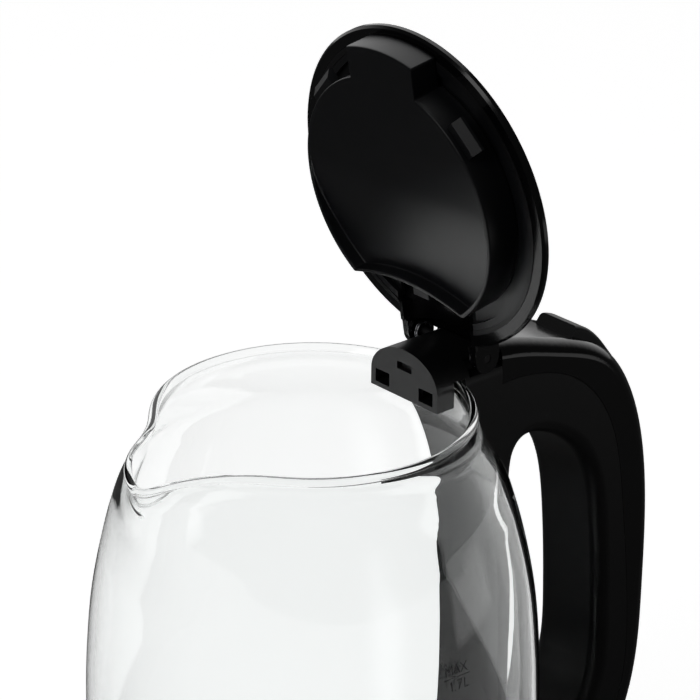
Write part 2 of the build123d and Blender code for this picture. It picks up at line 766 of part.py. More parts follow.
def lobe_outline(inset, z):
    """Plan of the plug's front lobe."""
    with BuildSketch(lid_part(z)) as plan:
        Circle(lobe_r - inset)
        with Locations((-30.0, 0)):
            Rectangle(40.0, 2 * (lobe_half - inset), align=(Align.MAX, Align.CENTER), mode=Mode.INTERSECT)
    return plan.sketch


def latch_frame(half, z):
    """Plane along a latch's travel: x outward, for the left (-1) or right (1) latch."""
    turn = 180.0 - half * latch_angle
    return Plane(lid_swing * Location((0, 0, z), (0, 0, turn)))


def latch_box(half, r0, r1, width, z0, z1):
    """Box along a latch's travel."""
    with BuildPart() as block:
        with BuildSketch(latch_frame(half, z0)):
            with Locations(((r0 + r1) / 2, 0)):
                Rectangle(r1 - r0, width)
        extrude(amount=z1 - z0)
    return block.part


spring_seat_r = 20.5
tail_x = 36.6
with BuildPart() as lid_panel:
    extrude(plug_outline(0, plug_z), amount=floor_z - plug_z)
    extrude(lobe_outline(0, plug_z), amount=plug_depth - seal_drop - 0.1)
    extrude(plug_outline(plug_wall, plug_z + plug_wall), amount=plug_depth + 5.0, mode=Mode.SUBTRACT)
    extrude(lobe_outline(plug_wall, plug_z + plug_wall), amount=plug_depth - plug_wall - seal_drop, mode=Mode.SUBTRACT)
    with BuildSketch(lid_part(plug_z)):
        for k in range(4):
            with Locations((2.2 * k - 49.0, 9.0 - 5.0 * k)):
                Rectangle(1.1, 5.0, rotation=30)
    extrude(amount=plug_wall, mode=Mode.SUBTRACT)
    for half in (-1, 1):
        add(latch_box(half, 36.0, 46.0, 2 * window_half, latch_z - 0.2, latch_z + latch_t + 0.3), mode=Mode.SUBTRACT)
        add(latch_box(half, spring_seat_r - 2.0, spring_seat_r, 6.0, plug_z + plug_wall - 0.2, latch_z + latch_t))
    add(lid_box(20.0, 40.0, 4.5, latch_z + latch_t + 0.1, floor_z - 0.3), mode=Mode.SUBTRACT)
finish(lid_panel.part, "lid_panel")

cam_r = 30.0
cam_z = latch_z + latch_t
slider_t = 2.2
slider_z = cam_z + 0.3
cam_x = -cam_r * cos(radians(latch_angle))
cam_y = cam_r * sin(radians(latch_angle))

for half, side_name in ((-1, "right"), (1, "left")):
    with BuildPart() as latch:
        add(latch_box(half, 27.0, latch_tip_r, latch_w, latch_z, cam_z))
        nose = latch.faces().sort_by(Axis(latch_frame(half, 0).origin, latch_frame(half, 0).x_dir))[-1]
        chamfer(nose.edges().sort_by(Axis(lid_side.origin, lid_side.y_dir))[0], 2.4)
        with BuildSketch(latch_frame(half, cam_z)):
            with Locations((cam_r, 0)):
                Circle(cam_pin_r)
        extrude(amount=slider_t + 0.3)
    finish(latch.part, f"lid_latch_{side_name}")

# The cam slot turns travel along X into travel along the latch
slot_run = latch_travel * 2 * cos(radians(latch_angle / 2))
with BuildPart() as lid_slider:
    with BuildSketch(lid_part(slider_z)):
        with Locations((-18.0, 0)):
            Rectangle(14.0, 54.0)
        with Locations((11.0, 0)):
            Rectangle(49.0, 7.0)
        for half in (-1, 1):
            lean = half * latch_angle / 2
            mid = (cam_x + slot_run / 2 * cos(radians(lean)), half * cam_y - slot_run / 2 * sin(radians(lean)))
            with Locations(Location((mid[0], mid[1], 0), (0, 0, -lean))):
                SlotCenterToCenter(slot_run, 2 * cam_pin_r + 0.8, mode=Mode.SUBTRACT)
    extrude(amount=slider_t)
    add(lid_box(tail_x - 2.2, tail_x, 3.5, slider_z, slider_z + 5.5))
finish(lid_slider.part, "lid_slider")

with BuildPart() as latch_springs:
    for half in (-1, 1):
        line = latch_frame(half, latch_z + latch_t / 2)
        start = line.origin + line.x_dir * (spring_seat_r + 0.3)
        coil = Helix(1.5, 6.0, 1.2, center=start, direction=line.x_dir)
        with BuildSketch(Plane(coil @ 0, z_dir=coil % 0)):
            Circle(0.25)
        sweep(path=coil)
finish(latch_springs.part, "latch_springs")

# ---------------------------------------------------------------- release button
cam_slope = [(button_x0, -12.4), (button_x0 + 7.6, -20.0)]
with BuildPart() as release_button:
    with BuildSketch(side):
        with BuildLine():
            crown = Spline(*rel([(button_x0 + 4.0, 1.6), (112.0, 0.2), (118.4, -4.6), (button_x1, -13.6)]))
            Polyline(
                crown @ 1, (button_x1, rim_z - 20.0), *rel(reversed(cam_slope)),
                (button_x0, rim_z - 3.4), crown @ 0,
            )
        make_face()
    extrude(amount=button_half, both=True)
    tops = release_button.edges().filter_by(GeomType.BSPLINE)
    fillet(tops, 1.6)
finish(release_button.part, "release_button")

rod_mid_h = rod_h + rod_t / 2
with BuildPart() as push_rod:
    with BuildSketch(side):
        with BuildLine():
            Polyline(*rel([
                (block_x + 3.4, rod_mid_h), (66.0, rod_mid_h), (76.5, -6.5), (105.0, -17.0),
            ]))
        trace(line_width=rod_t)
        with BuildLine():
            Polyline(*rel([(103.5, -17.6), (109.0, -17.85), (104.6, -13.45), (102.6, -15.6)]), close=True)
        make_face()
    extrude(amount=2.6, both=True)
finish(push_rod.part, "push_rod")

with BuildPart() as button_spring:
    low = rim_z + seat_h + 0.75
    coil = Helix(2.3, 8.4, 2.6, center=(spring_x + 3.6, 0, low), direction=(0, 0, 1))
    with BuildSketch(Plane(coil @ 0, z_dir=coil % 0)):
        Circle(0.4)
    sweep(path=coil)
finish(button_spring.part, "button_spring")

# ---------------------------------------------------------------- steam switch
with BuildPart() as steam_tube:
    add(tube_run(tube_r))
    add(tube_run(tube_r - 1.0), mode=Mode.SUBTRACT)
finish(steam_tube.part, "steam_tube")

with BuildPart() as steam_bimetal:
    with Locations(Location((disc_x, 0, disc_z), (0, -45, 0))):
        Cylinder(6.5, disc_t)
finish(steam_bimetal.part, "steam_bimetal")

switch_pin_place = Location((switch_x, 0, switch_z), (90, 0, 0))
with BuildPart() as switch_pin:
    with Locations(switch_pin_place):
        Cylinder(switch_pin_r, 2 * channel_half + 1.0)
finish(switch_pin.part, "switch_pin")

with BuildPart() as switch_lever:
    with BuildSketch(side):
        with Locations((switch_x, switch_z)):
            Circle(3.4)
        with Locations((switch_x, switch_z)):
            Rectangle(3.6, switch_z - 22.5, align=(Align.CENTER, Align.MAX))
        with BuildLine():
            Polyline(
                (switch_x - 1.8, 24.5), (switch_x - 1.8, 22.0), (switch_x + 20.0, 21.0), (switch_x + 21.0, 23.0),
                (switch_x + 1.8, 25.5), close=True,
            )
        make_face()
    extrude(amount=5.0, both=True)
    with Locations(switch_pin_place):
        Cylinder(switch_pin_r + pin_fit, 40.0, mode=Mode.SUBTRACT)
finish(switch_lever.part, "switch_lever")

with BuildPart() as trip_rod:
    with Locations(((socket_r + 12.0 + switch_x - 2.4) / 2, 0, trip_z)):
        Box(switch_x - 2.4 - socket_r - 12.0, trip_w, trip_h)
finish(trip_rod.part, "trip_rod")
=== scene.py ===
import bmesh
import bpy
import json
import math
import numpy as np
from mathutils import Matrix, Vector


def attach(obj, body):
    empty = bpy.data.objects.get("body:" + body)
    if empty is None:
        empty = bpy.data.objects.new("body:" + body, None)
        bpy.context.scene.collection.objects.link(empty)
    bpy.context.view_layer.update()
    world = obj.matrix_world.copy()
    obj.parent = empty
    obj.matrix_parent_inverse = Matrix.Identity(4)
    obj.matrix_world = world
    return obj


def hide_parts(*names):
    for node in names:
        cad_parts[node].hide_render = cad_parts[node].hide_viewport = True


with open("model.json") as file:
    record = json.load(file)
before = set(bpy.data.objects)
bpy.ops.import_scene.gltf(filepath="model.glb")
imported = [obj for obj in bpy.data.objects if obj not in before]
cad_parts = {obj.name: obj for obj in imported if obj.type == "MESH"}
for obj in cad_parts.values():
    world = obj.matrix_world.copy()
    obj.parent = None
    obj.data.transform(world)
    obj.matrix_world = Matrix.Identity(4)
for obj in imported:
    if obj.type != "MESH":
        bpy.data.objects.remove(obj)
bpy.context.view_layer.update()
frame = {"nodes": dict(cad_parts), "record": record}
nodes = frame["nodes"]
scene = bpy.context.scene
mm = 0.001
print("frame loaded:", len(nodes), "nodes")


# meshes from arrays

def gridMesh(name, points, wrapU=False, wrapV=False, flip=False):
    # points: rows and columns of places; a wrapped direction joins its last line to its first
    rows, cols = points.shape[:2]
    i = np.arange(rows if wrapU else rows - 1)[:, None]
    j = np.arange(cols if wrapV else cols - 1)[None, :]
    nextI, nextJ = (i + 1) % rows, (j + 1) % cols
    corners = [i * cols + j, nextI * cols + j, nextI * cols + nextJ, i * cols + nextJ]
    quads = np.stack(corners, axis=-1).reshape(-1, 4)
    return arrayMesh(name, points.reshape(-1, 3), quads[:, ::-1] if flip else quads)


def arrayMesh(name, verts, quads):
    mesh = bpy.data.meshes.new(name)
    mesh.vertices.add(len(verts))
    mesh.vertices.foreach_set("co", np.ascontiguousarray(verts, np.float32).ravel())
    mesh.loops.add(quads.size)
    mesh.loops.foreach_set("vertex_index", np.ascontiguousarray(quads, np.int32).ravel())
    mesh.polygons.add(len(quads))
    mesh.polygons.foreach_set("loop_start", np.arange(len(quads), dtype=np.int32) * 4)
    mesh.update(calc_edges=True)
    mesh.validate()
    mesh.polygons.foreach_set("use_smooth", np.ones(len(mesh.polygons), bool))
    obj = bpy.data.objects.new(name, mesh)
    scene.collection.objects.link(obj)
    return obj


def closePoles(obj):
    # a line of the grid that has shrunk to one place becomes a single vertex
    shell = bmesh.new()
    shell.from_mesh(obj.data)
    bmesh.ops.remove_doubles(shell, verts=shell.verts, dist=1e-7)
    shell.to_mesh(obj.data)
    shell.free()


def smoothStep(low, high, x):
    t = np.clip((x - low) / (high - low), 0.0, 1.0)
    return t * t * (3.0 - 2.0 * t)


# shader node groups

def newGroup(name, inputs, outputs):
    group = bpy.data.node_groups.new(name, "ShaderNodeTree")
    for label, kind, value in inputs:
        socket = group.interface.new_socket(label, in_out="INPUT", socket_type=kind)
        socket.default_value = value
    for label, kind in outputs:
        group.interface.new_socket(label, in_out="OUTPUT", socket_type=kind)
    start = group.nodes.new("NodeGroupInput")
    end = group.nodes.new("NodeGroupOutput")
    return group, start, end


def addNode(tree, kind, settings=(), values=()):
    node = tree.nodes.new(kind)
    for key, value in dict(settings).items():
        setattr(node, key, value)
    for key, value in dict(values).items():
        node.inputs[key].default_value = value
    return node


def makeGrainGroup():
    # fine moulded texture: two noises of different size, the fine one a height turned into a normal, the
    # coarse one given out as a mask
    group, start, end = newGroup(
        "mouldGrain",
        [("Scale", "NodeSocketFloat", 2500.0), ("Strength", "NodeSocketFloat", 0.1),
         ("Distance", "NodeSocketFloat", 0.0001)],
        [("Normal", "NodeSocketVector"), ("Mask", "NodeSocketFloat")],
    )
    link = group.links.new
    coord = addNode(group, "ShaderNodeTexCoord")
    fine = addNode(group, "ShaderNodeTexNoise", values={"Detail": 2.0, "Roughness": 0.6})
    coarse = addNode(group, "ShaderNodeTexNoise", values={"Scale": 60.0, "Detail": 4.0})
    bump = addNode(group, "ShaderNodeBump")
    link(coord.outputs["Object"], fine.inputs["Vector"])
    link(coord.outputs["Object"], coarse.inputs["Vector"])
    link(start.outputs["Scale"], fine.inputs["Scale"])
    link(start.outputs["Strength"], bump.inputs["Strength"])
    link(start.outputs["Distance"], bump.inputs["Distance"])
    link(fine.outputs["Fac"], bump.inputs["Height"])
    link(bump.outputs["Normal"], end.inputs["Normal"])
    link(coarse.outputs["Fac"], end.inputs["Mask"])
    return group


def makeWearGroup():
    # dust lies on faces that look up, broken by noise
    # edge wear is where a bevelled normal leaves the true one
    group, start, end = newGroup(
        "wearMasks",
        [("Edge Width", "NodeSocketFloat", 0.0004), ("Dust", "NodeSocketFloat", 0.1)],
        [("Edge", "NodeSocketFloat"), ("Dust", "NodeSocketFloat")],
    )
    link = group.links.new
    geometry = addNode(group, "ShaderNodeNewGeometry")
    bevel = addNode(group, "ShaderNodeBevel", {"samples": 4})
    dot = addNode(group, "ShaderNodeVectorMath", {"operation": "DOT_PRODUCT"})
    edge = addNode(group, "ShaderNodeMapRange", values={"From Min": 0.995, "From Max": 0.9})
    coord = addNode(group, "ShaderNodeTexCoord")
    noise = addNode(group, "ShaderNodeTexNoise", values={"Scale": 900.0, "Detail": 3.0})
    specks = addNode(group, "ShaderNodeMapRange", values={"From Min": 0.62, "From Max": 0.75})
    split = addNode(group, "ShaderNodeSeparateXYZ")
    facing = addNode(group, "ShaderNodeMapRange", values={"From Min": 0.2, "From Max": 0.9})
    product = addNode(group, "ShaderNodeMath", {"operation": "MULTIPLY"})
    scaled = addNode(group, "ShaderNodeMath", {"operation": "MULTIPLY"})
    link(start.outputs["Edge Width"], bevel.inputs["Radius"])
    link(bevel.outputs["Normal"], dot.inputs[0])
    link(geometry.outputs["Normal"], dot.inputs[1])
    link(dot.outputs["Value"], edge.inputs["Value"])
    link(edge.outputs["Result"], end.inputs["Edge"])
    link(coord.outputs["Object"], noise.inputs["Vector"])
    link(noise.outputs["Fac"], specks.inputs["Value"])
    link(geometry.outputs["Normal"], split.inputs["Vector"])
    link(split.outputs["Z"], facing.inputs["Value"])
    link(specks.outputs["Result"], product.inputs[0])
    link(facing.outputs["Result"], product.inputs[1])
    link(product.outputs["Value"], scaled.inputs[0])
    link(start.outputs["Dust"], scaled.inputs[1])
    link(scaled.outputs["Value"], end.inputs["Dust"])
    return group


def makeBrushGroup():
    # brushed metal: noise over the distance from the jug's axis and the height, so it turns with the jug
    group, start, end = newGroup(
        "turnedBrush",
        [("Strength", "NodeSocketFloat", 0.15)],
        [("Normal", "NodeSocketVector"), ("Streak", "NodeSocketFloat")],
    )
    link = group.links.new
    coord = addNode(group, "ShaderNodeTexCoord")
    split = addNode(group, "ShaderNodeSeparateXYZ")
    square = addNode(group, "ShaderNodeVectorMath", {"operation": "LENGTH"})
    flat = addNode(group, "ShaderNodeCombineXYZ")
    join = addNode(group, "ShaderNodeCombineXYZ")
    noise = addNode(group, "ShaderNodeTexNoise", values={"Scale": 6000.0, "Detail": 2.0})
    bump = addNode(group, "ShaderNodeBump", values={"Distance": 0.00003})
    link(coord.outputs["Object"], split.inputs["Vector"])
    link(split.outputs["X"], flat.inputs["X"])
    link(split.outputs["Y"], flat.inputs["Y"])
    link(flat.outputs["Vector"], square.inputs[0])
    link(square.outputs["Value"], join.inputs["X"])
    link(split.outputs["Z"], join.inputs["Z"])
    link(join.outputs["Vector"], noise.inputs["Vector"])
    link(noise.outputs["Fac"], bump.inputs["Height"])
    link(start.outputs["Strength"], bump.inputs["Strength"])
    link(bump.outputs["Normal"], end.inputs["Normal"])
    link(noise.outputs["Fac"], end.inputs["Streak"])
    return group


grainGroup = makeGrainGroup()
wearGroup = makeWearGroup()
brushGroup = makeBrushGroup()
print("node groups made")


# materials

def newMaterial(name, color, roughness, metallic=0.0, extra=()):
    mat = bpy.data.materials.new(name)
    mat.use_nodes = True
    shader = mat.node_tree.nodes["Principled BSDF"]
    shader.inputs["Base Color"].default_value = (*color, 1.0)
    shader.inputs["Roughness"].default_value = roughness
    shader.inputs["Metallic"].default_value = metallic
    for key, value in dict(extra).items():
        shader.inputs[key].default_value = value
    return mat, mat.node_tree, shader


def useGroup(tree, group, values=()):
    node = tree.nodes.new("ShaderNodeGroup")
    node.node_tree = group
    for key, value in dict(values).items():
        node.inputs[key].default_value = value
    return node


def spread(tree, source, target, low, high):
    # a mask from 0 to 1 carried to a range of values on a socket
    node = addNode(tree, "ShaderNodeMapRange", values={"To Min": low, "To Max": high})
    tree.links.new(source, node.inputs["Value"])
    tree.links.new(node.outputs["Result"], target)


def varyRoughness(tree, source, shader, look):
    low, high = look["rough"] - look["roughVary"], look["rough"] + look["roughVary"]
    spread(tree, source, shader.inputs["Roughness"], low, high)


def plasticMaterial(name, look):
    mat, tree, shader = newMaterial(name, look["color"], look["rough"], extra=look.get("extra", {}))
    grain = useGroup(tree, grainGroup, {"Scale": look["grainScale"], "Strength": look["grain"]})
    wear = useGroup(tree, wearGroup, {"Dust": look["dust"]})
    tree.links.new(grain.outputs["Normal"], shader.inputs["Normal"])
    varyRoughness(tree, grain.outputs["Mask"], shader, look)
    worn = addNode(tree, "ShaderNodeMix", {"data_type": "RGBA"})
    worn.inputs["A"].default_value = (*look["color"], 1.0)
    worn.inputs["B"].default_value = (*look["worn"], 1.0)
    both = addNode(tree, "ShaderNodeMath", {"operation": "MAXIMUM"})
    part = addNode(tree, "ShaderNodeMath", {"operation": "MULTIPLY"}, {1: look["edge"]})
    tree.links.new(wear.outputs["Edge"], part.inputs[0])
    tree.links.new(part.outputs["Value"], both.inputs[0])
    tree.links.new(wear.outputs["Dust"], both.inputs[1])
    tree.links.new(both.outputs["Value"], worn.inputs["Factor"])
    tree.links.new(worn.outputs["Result"], shader.inputs["Base Color"])
    return mat


def metalMaterial(name, look):
    mat, tree, shader = newMaterial(name, look["color"], look["rough"], 1.0)
    if look["brush"] > 0:
        finish = useGroup(tree, brushGroup, {"Strength": look["brush"]})
        mask = finish.outputs["Streak"]
    else:
        finish = useGroup(tree, grainGroup, {"Scale": 900.0, "Strength": 0.05})
        mask = finish.outputs["Mask"]
    tree.links.new(finish.outputs["Normal"], shader.inputs["Normal"])
    varyRoughness(tree, mask, shader, look)
    return mat


plastics = {
    "glossBlack": {
        "color": (0.004, 0.004, 0.0046), "rough": 0.14, "roughVary": 0.03, "grain": 0.02, "grainScale": 700.0,
        "dust": 0.02, "edge": 0.05, "worn": (0.03, 0.03, 0.032), "extra": {"Specular IOR Level": 0.5},
    },
    "satinBlack": {
        "color": (0.0075, 0.0078, 0.0086), "rough": 0.42, "roughVary": 0.04, "grain": 0.10,
        "grainScale": 2600.0, "dust": 0.02, "edge": 0.12, "worn": (0.03, 0.03, 0.032),
        "extra": {"Specular IOR Level": 0.45},
    },
    "panelBlack": {
        "color": (0.011, 0.0115, 0.0135), "rough": 0.36, "roughVary": 0.05, "grain": 0.08,
        "grainScale": 2200.0, "dust": 0.03, "edge": 0.15, "worn": (0.04, 0.04, 0.042),
        "extra": {"Specular IOR Level": 0.5},
    },
    "baseBlack": {
        "color": (0.01, 0.01, 0.011), "rough": 0.38, "roughVary": 0.05, "grain": 0.12, "grainScale": 2000.0,
        "dust": 0.05, "edge": 0.15, "worn": (0.04, 0.04, 0.042),
    },
    "innerBlack": {
        "color": (0.016, 0.016, 0.017), "rough": 0.5, "roughVary": 0.05, "grain": 0.1, "grainScale": 1800.0,
        "dust": 0.0, "edge": 0.1, "worn": (0.04, 0.04, 0.04),
    },
    "siliconeBlack": {
        "color": (0.012, 0.012, 0.013), "rough": 0.45, "roughVary": 0.05, "grain": 0.08, "grainScale": 1200.0,
        "dust": 0.02, "edge": 0.0, "worn": (0.05, 0.05, 0.05),
    },
    "rubberBlack": {
        "color": (0.014, 0.014, 0.014), "rough": 0.75, "roughVary": 0.06, "grain": 0.3, "grainScale": 1500.0,
        "dust": 0.15, "edge": 0.1, "worn": (0.06, 0.06, 0.06),
    },
}
metals = {
    "brushedSteel": {"color": (0.62, 0.62, 0.63), "rough": 0.26, "roughVary": 0.08, "brush": 0.35},
    "drawnSteel": {"color": (0.5, 0.5, 0.51), "rough": 0.3, "roughVary": 0.06, "brush": 0.0},
    "castAluminium": {"color": (0.72, 0.72, 0.73), "rough": 0.42, "roughVary": 0.06, "brush": 0.0},
    "zincSteel": {"color": (0.58, 0.58, 0.6), "rough": 0.28, "roughVary": 0.06, "brush": 0.0},
    "springSteel": {"color": (0.4, 0.4, 0.42), "rough": 0.25, "roughVary": 0.06, "brush": 0.0},
    "plainBrass": {"color": (0.75, 0.55, 0.24), "rough": 0.25, "roughVary": 0.06, "brush": 0.0},
    "bimetalSheet": {"color": (0.62, 0.56, 0.48), "rough": 0.3, "roughVary": 0.06, "brush": 0.0},
}
mats = {name: plasticMaterial(name, look) for name, look in plastics.items()}
mats.update({name: metalMaterial(name, look) for name, look in metals.items()})

glassLook = {"color": (0.985, 0.995, 0.992), "rough": 0.0, "ior": 1.45, "smear": 0.004}
glassMat, glassTree, glassShader = newMaterial(
    "clearGlass", glassLook["color"], glassLook["rough"],
    extra={"Transmission Weight": 1.0, "IOR": glassLook["ior"]},
)
mats["clearGlass"] = glassMat
smear = addNode(glassTree, "ShaderNodeTexNoise", values={"Scale": 40.0, "Detail": 3.0})
glassCoord = addNode(glassTree, "ShaderNodeTexCoord")
glassTree.links.new(glassCoord.outputs["Object"], smear.inputs["Vector"])
spread(glassTree, smear.outputs["Fac"], glassShader.inputs["Roughness"], 0.0, glassLook["smear"])

slotMaterial = {
    "clear_glass": "clearGlass", "gloss_black": "glossBlack", "satin_black": "satinBlack",
    "base_black": "baseBlack", "inner_black": "innerBlack", "brushed_steel": "brushedSteel",
    "element_steel": "drawnSteel", "aluminium": "castAluminium", "screw_steel": "zincSteel",
    "spring_steel": "springSteel", "brass": "plainBrass", "bimetal": "bimetalSheet",
    "silicone": "siliconeBlack", "rubber": "rubberBlack",
}
nodeSlot = {row["node"]: row["material_slot"] for row in frame["record"]["subparts"]}
nodeOverride = {
    "lid_panel": "panelBlack", "lid_frame": "panelBlack", "lid_latch_left": "panelBlack",
    "lid_latch_right": "panelBlack", "hinge_pin": "innerBlack",
}
for name, obj in nodes.items():
    obj.data.materials.clear()
    obj.data.materials.append(mats[nodeOverride.get(name, slotMaterial[nodeSlot[name]])])
print("materials made:", len(mats))


# glass jug

jug = {
    "rimZ": 218.0, "footZ": 43.45, "wall": 2.4, "reach": 23.0, "reachPower": 1.6, "lobeAngle": 16.3,
    "lobeSpread": 12.0, "lobePower": 1.8, "lobeDrop": 46.0, "dip": 5.6, "dipAngle": 8.0,
    "beadR": 1.5, "beadFrom": -58.0, "beadTo": 238.0, "turns": 420, "wallRows": 130, "beadRows": 22,
    # distance below the rim and radius there: neck, shoulder, belly, foot
    "profile": [
        (-1.5, 51.1), (4.0, 51.6), (9.0, 53.6), (15.0, 56.6), (22.0, 60.8), (32.0, 64.4), (45.0, 67.9),
        (60.0, 70.9), (80.0, 73.0), (100.0, 73.9), (112.0, 74.0), (125.0, 74.0), (150.0, 72.6),
        (174.55, 69.5),
    ],
}


def bodyRadius(z):
    # radius of the jug's outside at a height: a smooth cubic through the profile's points
    drops, radii = np.array(jug["profile"]).T
    drop = jug["rimZ"] - z
    slopes = np.gradient(radii, drops)
    i = np.clip(np.searchsorted(drops, drop) - 1, 0, len(drops) - 2)
    step = drops[i + 1] - drops[i]
    t = np.clip((drop - drops[i]) / step, 0.0, 1.0)
    h00, h10 = 2 * t ** 3 - 3 * t ** 2 + 1, t ** 3 - 2 * t ** 2 + t
    h01, h11 = -2 * t ** 3 + 3 * t ** 2, t ** 3 - t ** 2
    return h00 * radii[i] + h10 * step * slopes[i] + h01 * radii[i + 1] + h11 * step * slopes[i + 1]


def outerRadius(angle, z):
    # the spout is a bell-shaped swelling about the front, widest at the rim and gone at the lobe's drop
    fromSpout = np.degrees(np.abs(angle - np.pi))
    share = np.clip((jug["rimZ"] - z) / jug["lobeDrop"], 0.0, 1.0)
    width = jug["lobeAngle"] + jug["lobeSpread"] * share
    bell = np.exp(-(fromSpout / width) ** jug["lobePower"])
    return bodyRadius(z) + jug["reach"] * (1.0 - share) ** jug["reachPower"] * bell


def makeGlass():
    angle = np.linspace(0, 2 * np.pi, jug["turns"], endpoint=False)[:, None]
    toSpout = np.degrees(np.abs(angle - np.pi))
    rim = jug["rimZ"] - jug["dip"] * np.exp(-(toSpout / jug["dipAngle"]) ** 2)
    share = np.linspace(0, 1, jug["wallRows"])[None, :] ** 0.8  # rows lie closer together towards the foot
    wallZ = rim - (rim - jug["footZ"]) * share
    outer = outerRadius(angle, wallZ)
    inner = outer - jug["wall"]
    beadCentre = outer[:, :1] - jug["wall"] / 2
    around = np.linspace(np.radians(jug["beadFrom"]), np.radians(jug["beadTo"]), jug["beadRows"])[None, :]
    beadR = beadCentre + jug["beadR"] * np.cos(around)
    beadZ = rim + jug["beadR"] * np.sin(around) * np.ones_like(beadR)
    underBead = slice(3, None)  # the first rows would lie inside the bead
    outer, inner, wallZ = outer[:, underBead], inner[:, underBead], wallZ[:, underBead]
    radius = np.concatenate([outer[:, ::-1], beadR, inner], axis=1)
    height = np.concatenate([wallZ[:, ::-1], beadZ, wallZ], axis=1)
    points = np.stack([radius * np.cos(angle), radius * np.sin(angle), height], axis=-1) * mm
    return gridMesh("glassBody", points, wrapU=True, wrapV=True)


glass = makeGlass()
glass.data.materials.append(mats["clearGlass"])
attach(glass, "jug")
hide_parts("glass_jug")
print("glass made")


# fill mark: thin strokes laid on the glass

mark = {
    "angle": -1.62, "z": 155.6, "stroke": 0.35, "lift": 0.06, "capital": 3.0, "lineHalf": 5.0,
    "color": (0.12, 0.12, 0.125), "rough": 0.5,
    # each sign: where it stands beside the line, then its strokes in shares of a capital's height
    "signs": [
        ((-4.2, 1.1), [[(0, 0), (0, 1), (0.4, 0.4), (0.8, 1), (0.8, 0)]]),
        ((-1.3, 1.1), [[(0, 0), (0.4, 1), (0.8, 0)], [(0.17, 0.4), (0.63, 0.4)]]),
        ((1.6, 1.1), [[(0, 0), (0.8, 1)], [(0, 1), (0.8, 0)]]),
        ((-3.2, -4.1), [
            [(0.1, 0.8), (0.3, 1), (0.3, 0)], [(0.7, 0), (0.8, 0)],
            [(1.0, 1), (1.6, 1), (1.2, 0)], [(2.0, 1), (2.0, 0), (2.5, 0)],
        ]),
    ],
}


def makeMark():
    h = mark["capital"]
    strokes = [[(-mark["lineHalf"], 0.0), (mark["lineHalf"], 0.0)]]
    for (left, bottom), lines in mark["signs"]:
        strokes += [[(x * h + left, y * h + bottom) for x, y in line] for line in lines]
    ends = np.concatenate([np.stack([line[:-1], line[1:]], axis=1) for line in map(np.array, strokes)])
    run = ends[:, 1] - ends[:, 0]
    unit = run / np.linalg.norm(run, axis=1, keepdims=True)
    across = np.stack([-unit[:, 1], unit[:, 0]], axis=1) * mark["stroke"] / 2
    start, end = ends[:, 0], ends[:, 1]
    corners = np.stack([start - across, end - across, end + across, start + across], axis=1)
    height = mark["z"] + corners[..., 1]
    radius = bodyRadius(height) + mark["lift"]
    turn = mark["angle"] + corners[..., 0] / radius
    points = np.stack([radius * np.cos(turn), radius * np.sin(turn), height], axis=-1).reshape(-1, 3) * mm
    return arrayMesh("fillMark", points, np.arange(len(points)).reshape(-1, 4))


markObj = makeMark()
markMat, markTree, markShader = newMaterial("markGrey", mark["color"], mark["rough"])
markGrain = useGroup(markTree, grainGroup, {"Scale": 3000.0, "Strength": 0.1})
markTree.links.new(markGrain.outputs["Normal"], markShader.inputs["Normal"])
markObj.data.materials.append(markMat)
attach(markObj, "jug")
print("fill mark made")


# lid plug: a shallow cup with a sunk face, a raised lip, a front lobe and a side hollowed for the hinge

hinge = {"x": 58.15, "z": 225.07, "open": math.radians(80.3)}


def carryOpen(x, y, z):
    # places given for the shut lid, turned about the hinge into the open pose
    c, s = math.cos(hinge["open"]), math.sin(hinge["open"])
    dx, dz = x - hinge["x"], z - hinge["z"]
    return np.stack([hinge["x"] + dx * c + dz * s, y + 0 * dx, hinge["z"] - dx * s + dz * c], axis=-1) * mm


plug = {
    "r": 41.8, "faceZ": 209.5, "floorZ": 221.8, "lobeTopZ": 219.6, "lobeR": 51.6, "lobeHalf": 14.6,
    "hollowX": 115.6, "hollowR": 86.3, "cornerX": 33.0, "cornerY": 25.0, "lip": 1.5, "lipRound": 0.3,
    "round": 0.5, "wallT": 1.5, "sink": 4.6, "sinkFrom": -8.0, "sinkTo": 30.0,
    "tipTurns": 40, "sideTurns": 14, "roundTurns": 150, "hollowTurns": 60,
    "faceRows": 40, "bendRows": 5, "wallRows": 12,
}


def plugAngles():
    # angles from the front, closer together at the outline's corners
    lobeTip = math.asin(plug["lobeHalf"] / plug["lobeR"])
    lobeRoot = math.asin(plug["lobeHalf"] / plug["r"])
    corner = math.pi - math.atan2(plug["cornerY"], plug["cornerX"])
    half = np.concatenate([
        np.linspace(0, lobeTip, plug["tipTurns"], endpoint=False),
        np.linspace(lobeTip, lobeRoot, plug["sideTurns"], endpoint=False),
        np.linspace(lobeRoot, corner, plug["roundTurns"], endpoint=False),
        np.linspace(corner, math.pi, plug["hollowTurns"], endpoint=False),
    ])
    return np.concatenate([half, 2 * math.pi - half[:0:-1]])


def plugReach(angle):
    # outline of the plug seen from above: circle, with the front lobe added and the hinge side hollowed
    turn = np.abs(np.where(angle > math.pi, 2 * math.pi - angle, angle))
    eighth = math.pi / 4
    side = plug["lobeHalf"] / np.maximum(np.sin(turn), 1e-6)
    lobe = np.where(turn < eighth, np.minimum(plug["lobeR"], side), 0.0)
    reach = np.maximum(plug["r"], lobe)
    toHinge = math.pi - turn
    under = plug["hollowR"] ** 2 - (plug["hollowX"] * np.sin(toHinge)) ** 2
    hollow = plug["hollowX"] * np.cos(toHinge) - np.sqrt(np.maximum(under, 0.0))
    return np.where((toHinge < eighth) & (under > 0), np.minimum(reach, hollow), reach)


